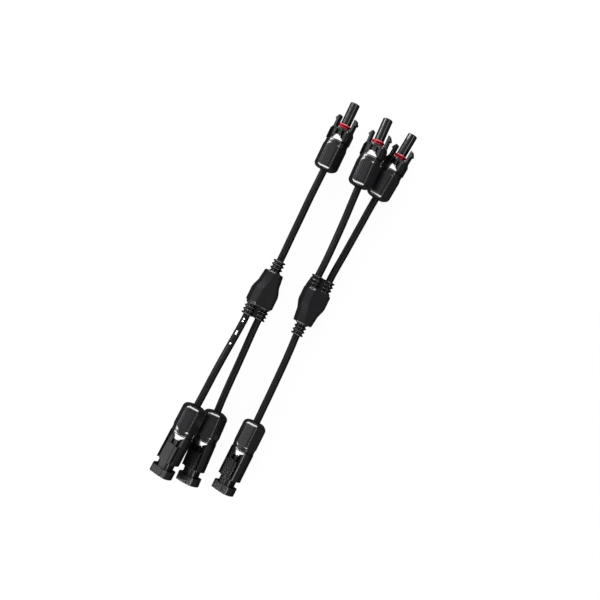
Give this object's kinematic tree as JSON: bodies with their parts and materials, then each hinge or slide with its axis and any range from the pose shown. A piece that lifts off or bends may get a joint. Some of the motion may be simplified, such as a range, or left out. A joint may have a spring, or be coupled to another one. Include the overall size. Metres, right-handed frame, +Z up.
{
  "type": "solar cable connector",
  "caption": "Y-branch solar leads: latching socket and pin couplers on short cables that meet in a moulded Y junction. Arms flex and gland nuts unscrew.",
  "frame": {"origin": "bottom centre of the box round both leads, on the surface they lie on", "axes": "+Y along the leads, from the pin couplers of lead A to its socket coupler; +X from lead A to lead B; +Z up"},
  "size_m": [0.0783, 0.3234, 0.0325],
  "materials": {
    "housing_plastic": "glossy black",
    "arm_plastic": "glossy black",
    "nut_plastic": "satin black, fine ribs",
    "moulding_plastic": "satin black, fine grain",
    "seal_red": "red silicone",
    "cable_jacket": "satin black jacket",
    "grommet_rubber": "black rubber",
    "claw_plastic": "dark grey nylon",
    "contact_plating": "tin plated copper",
    "contact_spring": "bright spring brass",
    "stranded_copper": "tinned strands",
    "splice_copper": "plain copper"
  },
  "bodies": {
    "lead_a": {"a_y_moulding": "moulding_plastic", "a_splice_crimp": "splice_copper", "f1_housing": "housing_plastic", "f1_seal_ring": "seal_red", "f1_socket_contact": "contact_plating", "f1_contact_band": "contact_spring", "f1_cable_grommet": "grommet_rubber", "f1_cable_jacket": "cable_jacket", "f1_conductor": "stranded_copper", "m1_housing": "housing_plastic", "m1_pin_contact": "contact_plating", "m1_cable_grommet": "grommet_rubber", "m1_cable_jacket": "cable_jacket", "m1_conductor": "stranded_copper", "m2_housing": "housing_plastic", "m2_pin_contact": "contact_plating", "m2_cable_grommet": "grommet_rubber", "m2_cable_jacket": "cable_jacket", "m2_conductor": "stranded_copper"},
    "lead_b": {"b_y_moulding": "moulding_plastic", "b_splice_crimp": "splice_copper", "f2_housing": "housing_plastic", "f2_seal_ring": "seal_red", "f2_socket_contact": "contact_plating", "f2_contact_band": "contact_spring", "f2_cable_grommet": "grommet_rubber", "f2_cable_jacket": "cable_jacket", "f2_conductor": "stranded_copper", "f3_housing": "housing_plastic", "f3_seal_ring": "seal_red", "f3_socket_contact": "contact_plating", "f3_contact_band": "contact_spring", "f3_cable_grommet": "grommet_rubber", "f3_cable_jacket": "cable_jacket", "f3_conductor": "stranded_copper", "m3_housing": "housing_plastic", "m3_pin_contact": "contact_plating", "m3_cable_grommet": "grommet_rubber", "m3_cable_jacket": "cable_jacket", "m3_conductor": "stranded_copper"},
    "f1_left_arm": {"f1_arm_left": "arm_plastic"},
    "f1_right_arm": {"f1_arm_right": "arm_plastic"},
    "f1_claw": {"f1_clamp_claw": "claw_plastic"},
    "f1_nut": {"f1_gland_nut": "nut_plastic"},
    "f2_left_arm": {"f2_arm_left": "arm_plastic"},
    "f2_right_arm": {"f2_arm_right": "arm_plastic"},
    "f2_claw": {"f2_clamp_claw": "claw_plastic"},
    "f2_nut": {"f2_gland_nut": "nut_plastic"},
    "f3_left_arm": {"f3_arm_left": "arm_plastic"},
    "f3_right_arm": {"f3_arm_right": "arm_plastic"},
    "f3_claw": {"f3_clamp_claw": "claw_plastic"},
    "f3_nut": {"f3_gland_nut": "nut_plastic"},
    "m1_claw": {"m1_clamp_claw": "claw_plastic"},
    "m1_nut": {"m1_gland_nut": "nut_plastic"},
    "m2_claw": {"m2_clamp_claw": "claw_plastic"},
    "m2_nut": {"m2_gland_nut": "nut_plastic"},
    "m3_claw": {"m3_clamp_claw": "claw_plastic"},
    "m3_nut": {"m3_gland_nut": "nut_plastic"}
  },
  "joints": [
    {"name": "lead_b_lift", "type": "slide", "parent": "lead_a", "child": "lead_b", "axis": [0, 0, 1], "range_m": [0, 0.08]},
    {"name": "f1_left_arm_flex", "type": "hinge", "parent": "lead_a", "child": "f1_left_arm", "pos_m": [-0.02658, 0.13014, 0.00703], "axis": [0.4067, 0.0035, -0.9135], "range_deg": [0, 4.5], "stiffness_Nm_per_rad": 2},
    {"name": "f1_right_arm_flex", "type": "hinge", "parent": "lead_a", "child": "f1_right_arm", "pos_m": [-0.01324, 0.13026, 0.01297], "axis": [-0.4067, -0.0035, 0.9135], "range_deg": [0, 4.5], "stiffness_Nm_per_rad": 2},
    {"name": "f1_claw_slide", "type": "slide", "parent": "lead_a", "child": "f1_claw", "axis": [0.0087, -1, 0], "range_m": [0, 0.0076]},
    {"name": "f1_nut_turn", "type": "hinge", "parent": "f1_claw", "child": "f1_nut", "pos_m": [-0.0198, 0.1172, 0.01], "axis": [0.0087, -1, 0], "range_deg": [0, 1800]},
    {"name": "f2_left_arm_flex", "type": "hinge", "parent": "lead_b", "child": "f2_left_arm", "pos_m": [0.00231, 0.12814, 0.01886], "axis": [0.3433, -0.0284, -0.9388], "range_deg": [0, 4.5], "stiffness_Nm_per_rad": 2},
    {"name": "f2_right_arm_flex", "type": "hinge", "parent": "lead_b", "child": "f2_right_arm", "pos_m": [0.01601, 0.12886, 0.02385], "axis": [-0.3433, 0.0284, 0.9388], "range_deg": [0, 4.5], "stiffness_Nm_per_rad": 2},
    {"name": "f2_claw_slide", "type": "slide", "parent": "lead_b", "child": "f2_claw", "axis": [0.0366, -0.9984, 0.0436], "range_m": [0, 0.0076]},
    {"name": "f2_nut_turn", "type": "hinge", "parent": "f2_claw", "child": "f2_nut", "pos_m": [0.00964, 0.11552, 0.02192], "axis": [0.0366, -0.9984, 0.0436], "range_deg": [0, 1800]},
    {"name": "f3_left_arm_flex", "type": "hinge", "parent": "lead_b", "child": "f3_left_arm", "pos_m": [0.02153, 0.12862, 0.00703], "axis": [0.4055, -0.0319, -0.9135], "range_deg": [0, 4.5], "stiffness_Nm_per_rad": 2},
    {"name": "f3_right_arm_flex", "type": "hinge", "parent": "lead_b", "child": "f3_right_arm", "pos_m": [0.03483, 0.12757, 0.01297], "axis": [-0.4055, 0.0319, 0.9135], "range_deg": [0, 4.5], "stiffness_Nm_per_rad": 2},
    {"name": "f3_claw_slide", "type": "slide", "parent": "lead_b", "child": "f3_claw", "axis": [-0.0785, -0.9969, 0], "range_m": [0, 0.0076]},
    {"name": "f3_nut_turn", "type": "hinge", "parent": "f3_claw", "child": "f3_nut", "pos_m": [0.02716, 0.11514, 0.01], "axis": [-0.0785, -0.9969, 0], "range_deg": [0, 1800]},
    {"name": "m1_claw_slide", "type": "slide", "parent": "lead_a", "child": "m1_claw", "axis": [0.0366, 0.9984, 0.0436], "range_m": [0, 0.0076]},
    {"name": "m1_nut_turn", "type": "hinge", "parent": "m1_claw", "child": "m1_nut", "pos_m": [-0.02796, -0.11392, 0.02252], "axis": [0.0366, 0.9984, 0.0436], "range_deg": [0, 1800]},
    {"name": "m2_claw_slide", "type": "slide", "parent": "lead_a", "child": "m2_claw", "axis": [-0.0488, 0.9988, 0], "range_m": [0, 0.0076]},
    {"name": "m2_nut_turn", "type": "hinge", "parent": "m2_claw", "child": "m2_nut", "pos_m": [-0.01129, -0.11291, 0.01], "axis": [-0.0488, 0.9988, 0], "range_deg": [0, 1800]},
    {"name": "m3_claw_slide", "type": "slide", "parent": "lead_b", "child": "m3_claw", "axis": [0.0087, 1, 0], "range_m": [0, 0.0076]},
    {"name": "m3_nut_turn", "type": "hinge", "parent": "m3_claw", "child": "m3_nut", "pos_m": [0.019, -0.1069, 0.01], "axis": [0.0087, 1, 0], "range_deg": [0, 1800]}
  ],
  "couplings": [
    {"joint": "f1_claw_slide", "follows": "f1_nut_turn", "m_per_rad": 0.00023873},
    {"joint": "f2_claw_slide", "follows": "f2_nut_turn", "m_per_rad": 0.00023873},
    {"joint": "f3_claw_slide", "follows": "f3_nut_turn", "m_per_rad": 0.00023873},
    {"joint": "m1_claw_slide", "follows": "m1_nut_turn", "m_per_rad": 0.00023873},
    {"joint": "m2_claw_slide", "follows": "m2_nut_turn", "m_per_rad": 0.00023873},
    {"joint": "m3_claw_slide", "follows": "m3_nut_turn", "m_per_rad": 0.00023873}
  ]
}
